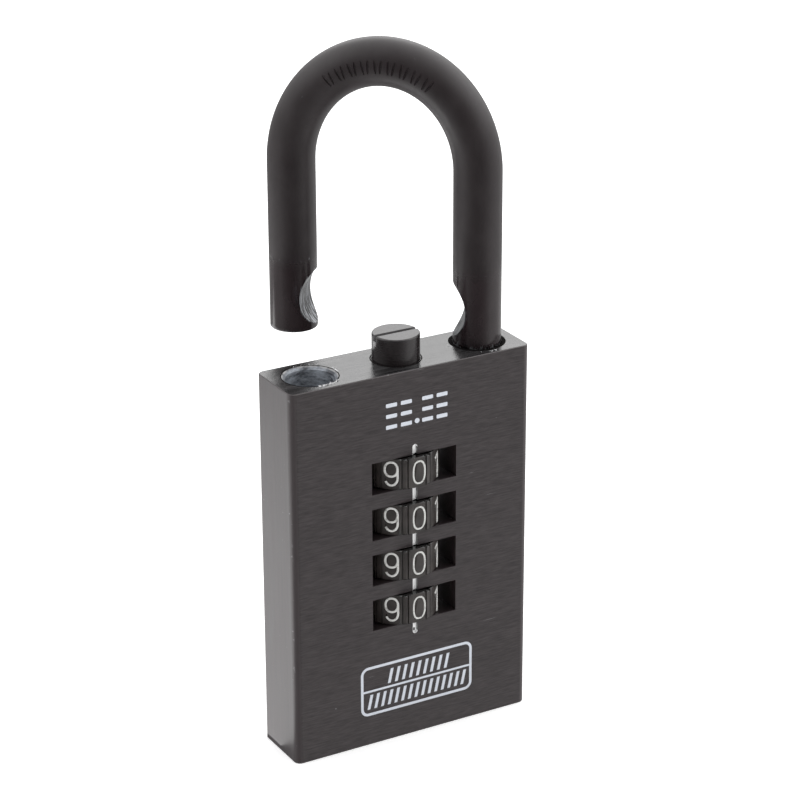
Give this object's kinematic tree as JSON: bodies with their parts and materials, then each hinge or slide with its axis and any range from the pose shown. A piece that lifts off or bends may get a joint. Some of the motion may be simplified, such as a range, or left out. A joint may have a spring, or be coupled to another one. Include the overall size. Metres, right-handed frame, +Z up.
{
  "type": "combination padlock",
  "caption": "Rectangular dial-code padlock with a slim brushed block body, windows for its number wheels, a slotted release plug and a round bow shackle that lifts and swings open.",
  "frame": {"origin": "centre of the base face of the body block", "axes": "+Z up along the body towards the shackle, +X towards the heel leg, -Y out of the face with the reading line"},
  "size_m": [0.05, 0.036, 0.1312],
  "materials": {
    "black_anodised": "brushed, then anodised black",
    "black_steel": "satin black coating, bright in the machined notches",
    "black_plug": "anodised black, worn on top",
    "wheel_black": "gloss black with white-filled digits",
    "plain_steel": "machined",
    "spring_steel": "drawn",
    "brass": "machined"
  },
  "bodies": {
    "lock_body": {"lock_body": "black_anodised", "base_plug": "black_anodised", "cross_bore_plug": "black_anodised", "shackle_retaining_pin": "plain_steel", "top_guide_bush": "brass", "bottom_guide_bush": "brass", "bore_snap_ring": "spring_steel", "detent_leaf": "spring_steel", "detent_bore_plug": "black_anodised", "spindle_spring": "spring_steel", "shackle_spring": "spring_steel"},
    "shackle_seat": {"shackle_spring_seat": "plain_steel"},
    "shackle": {"shackle": "black_steel"},
    "spindle": {"spindle": "plain_steel", "spindle_stop_ring": "spring_steel", "spindle_spring_seat": "plain_steel"},
    "plug": {"plug": "black_plug", "plug_washer": "brass", "plug_stem_clip": "spring_steel"},
    "toe_latch": {"toe_latch": "plain_steel"},
    "heel_latch": {"heel_latch": "plain_steel"},
    "wheel_1": {"number_wheel_1": "wheel_black", "code_sleeve_1": "brass"},
    "wheel_2": {"number_wheel_2": "wheel_black", "code_sleeve_2": "brass"},
    "wheel_3": {"number_wheel_3": "wheel_black", "code_sleeve_3": "brass"},
    "wheel_4": {"number_wheel_4": "wheel_black", "code_sleeve_4": "brass"}
  },
  "joints": [
    {"name": "shackle_lift", "type": "slide", "parent": "lock_body", "child": "shackle_seat", "axis": [0, 0, 1], "range_m": [-0.0139, 0], "stiffness_N_per_m": 100, "springref_m": 0.02, "deforming": ["shackle_spring"]},
    {"name": "shackle_swing", "type": "hinge", "parent": "shackle_seat", "child": "shackle", "pos_m": [0.0175, 0, 0.06], "axis": [0, 0, -1], "range_deg": [-42.9, 317.1]},
    {"name": "spindle_lift", "type": "slide", "parent": "lock_body", "child": "spindle", "axis": [0, 0, 1], "range_m": [-0.0051, 0], "stiffness_N_per_m": 250, "springref_m": 0.006, "deforming": ["spindle_spring"]},
    {"name": "plug_turn", "type": "hinge", "parent": "spindle", "child": "plug", "pos_m": [0.00025, 0, 0.07], "axis": [0, 0, 1], "range_deg": [0, 90]},
    {"name": "toe_latch_slide", "type": "slide", "parent": "lock_body", "child": "toe_latch", "axis": [-1, 0, 0], "range_m": [0, 0.00215]},
    {"name": "heel_latch_slide", "type": "slide", "parent": "lock_body", "child": "heel_latch", "axis": [1, 0, 0], "range_m": [0, 0.00215]},
    {"name": "wheel_1_turn", "type": "hinge", "parent": "lock_body", "child": "wheel_1", "pos_m": [0.00025, 0, 0.0545], "axis": [0, 0, 1], "continuous": true},
    {"name": "wheel_2_turn", "type": "hinge", "parent": "lock_body", "child": "wheel_2", "pos_m": [0.00025, 0, 0.0453], "axis": [0, 0, 1], "continuous": true},
    {"name": "wheel_3_turn", "type": "hinge", "parent": "lock_body", "child": "wheel_3", "pos_m": [0.00025, 0, 0.0361], "axis": [0, 0, 1], "continuous": true},
    {"name": "wheel_4_turn", "type": "hinge", "parent": "lock_body", "child": "wheel_4", "pos_m": [0.00025, 0, 0.0269], "axis": [0, 0, 1], "continuous": true}
  ],
  "couplings": [
    {"joint": "toe_latch_slide", "follows": "spindle_lift", "ratio": -0.42157},
    {"joint": "heel_latch_slide", "follows": "spindle_lift", "ratio": -0.42157}
  ]
}
